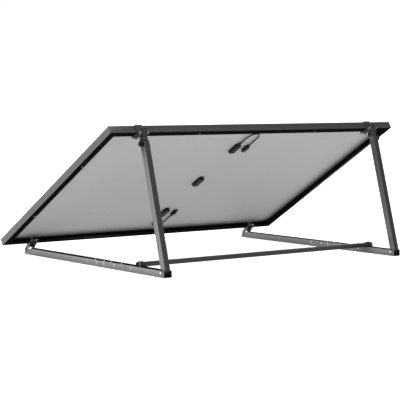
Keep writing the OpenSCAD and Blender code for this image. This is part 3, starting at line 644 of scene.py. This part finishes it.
# Lids of the junction boxes: three ribs, a round vent and four side latches each
LID_N = BACK_N - LID_H
RIB_XS, RIB_Y, RIB_SIZE, RIB_EDGE = (-0.0075, 0, 0.0075), -0.006, (0.0012, 0.040, 0.0012), 0.0003
VENT_Y, VENT_SINK = 0.025, 0.0002
VENT = [(0.0048, 0), (0.0048, 0.0007), (0.0040, 0.0010), (0.0034, 0.0006), (0.0001, 0.0006)]
LATCH_X, LATCH_YS, LATCH_BELOW = 0.0163, (-0.022, 0.020), 0.0052
LATCH_SIZE, LATCH_EDGE = (0.0014, 0.009, 0.0062), 0.0004
shapes = []
for k in (-1, 0, 1):
    axes = box_axes(k)
    for x in RIB_XS:
        shapes.append(slab(at_box(k, x, RIB_Y, LID_N), axes, RIB_SIZE, RIB_EDGE))
    shapes.append(lathe(at_box(k, 0, VENT_Y, LID_N + VENT_SINK), -TO_FRONT, VENT))
    for side in (-1, 1):
        for y in LATCH_YS:
            latch = at_box(k, side * LATCH_X, y, LID_N + LATCH_BELOW)
            shapes.append(slab(latch, axes, LATCH_SIZE, LATCH_EDGE))
add_piece("lid_details", *joined(shapes), "panel", "moulded_black", "box_plastic", rounded=False)

# Tapered, grooved sleeve of a gland
SLEEVE_R, SLEEVE_TAPER, SLEEVE_BORE, SLEEVE_L = 0.0050, 0.0002, 0.0033, 0.0212
GROOVES, GROOVE_PITCH, GROOVE_DEPTH = 7, 0.0029, 0.0004
sleeve = [(SLEEVE_BORE, 0.0)]
for i in range(GROOVES):
    r, h = SLEEVE_R - SLEEVE_TAPER * i, GROOVE_PITCH * i
    sleeve += [(r, 0.0005 + h), (r, 0.0021 + h), (r - GROOVE_DEPTH, 0.0023 + h),
               (r - GROOVE_DEPTH, 0.0032 + h)]
sleeve.append((SLEEVE_BORE, SLEEVE_L))

# Grips and sleeves on the glands, and ribs on the connector nuts
GRIP_Y, SLEEVE_Y, NUT_RIBS_Y, GRIP_DEPTH = 0.0464, 0.0532, CONNECTOR_Y - 0.0066, 0.0004
GRIP = [(0.0052, 0), (0.0056, 0.0003), (0.0056, 0.0033), (0.0052, 0.0036)]
NUT_RIBS = [(0.0074, 0), (0.0076, 0.0006), (0.0076, 0.0082), (0.0074, 0.0088)]
for k, end in ((1, "upper"), (-1, "lower")):
    outward = box_axes(k)[1]
    grip = lathe(at_box(k, PORT_X, GRIP_Y, LEAD_N), outward, GRIP, sides=64, ribs=16,
                 rib=GRIP_DEPTH)
    relief = lathe(at_box(k, PORT_X, SLEEVE_Y, LEAD_N), outward, sleeve, sides=24)
    add_piece("strain_relief_" + end, *joined([grip, relief]), "panel", "rubber_black",
              "box_plastic")
    ribs = lathe(at_box(k, CONNECTOR_X, NUT_RIBS_Y, LEAD_N), -outward, NUT_RIBS, sides=72,
                 ribs=12, rib=GRIP_DEPTH)
    add_piece("nut_ribs_" + end, *ribs, "panel", "moulded_black", "connector_plastic",
              rounded=False)

# ---------- floor and light ----------

FLOOR_SIZE, FLOOR_GLOW = 30, 0.8
REAR_SIDE = (-0.8, 0.6, 0.0)


def make_floor(size):
    """A pale floor with a slight glow, which evens out under a cut-out view."""
    mesh = bpy.data.meshes.new("floor")
    corners = [(-size, -size, 0), (size, -size, 0), (size, size, 0), (-size, size, 0)]
    mesh.from_pydata(corners, [], [(0, 1, 2, 3)])
    floor = bpy.data.objects.new("floor", mesh)
    bpy.context.scene.collection.objects.link(floor)
    pale = surface("floor_pale", grey(0.88), 0.9, vary=0.01, scale=1, specular=0.1)
    shader = pale.node_tree.nodes["Principled BSDF"]
    shader.inputs["Emission Color"].default_value = (1, 1, 1, 1)
    shader.inputs["Emission Strength"].default_value = FLOOR_GLOW
    mesh.materials.append(pale)


def make_area(name, place, target, size, power):
    light = bpy.data.lights.new(name, "AREA")
    light.size = size
    light.energy = power
    lamp = bpy.data.objects.new(name, light)
    bpy.context.scene.collection.objects.link(lamp)
    lamp.location = place
    lamp.rotation_mode = "QUATERNION"
    lamp.rotation_quaternion = (Vector(target) - Vector(place)).to_track_quat("-Z", "Y")


make_floor(FLOOR_SIZE)
make_area("key", place=(3.5, -3.5, 2.6), target=(0, 0, 0.3), size=2.5, power=45)
make_area("top", place=(1.3, 2.6, 3.6), target=(0, 0, 0), size=3, power=42)


def make_world(bright, dark):
    """A bright studio wall on the glass side, fading to a dark one beyond the panel's rear side.

    The dark side only lights and reflects: the backdrop itself shows white all round.
    """
    world = bpy.data.worlds.new("studio")
    bpy.context.scene.world = world
    world.use_nodes = True
    tree = world.node_tree
    coord = texture_place(tree)
    rear = vectors(tree, "DOT_PRODUCT", coord, "Generated", REAR_SIDE)
    level = ranged(tree, rear, "Value", (0.3, 0.88), (bright, dark))
    seen = tree.nodes.new("ShaderNodeLightPath")
    shown = maths(tree, "MAXIMUM", level, "Result")
    link(tree, seen, "Is Camera Ray", shown, 1)
    link(tree, shown, "Value", tree.nodes["Background"], "Strength")
    tree.nodes["Background"].inputs["Color"].default_value = (1, 1, 1, 1)


make_world(bright=1.03, dark=0.04)
bpy.context.scene.view_settings.view_transform = "Standard"
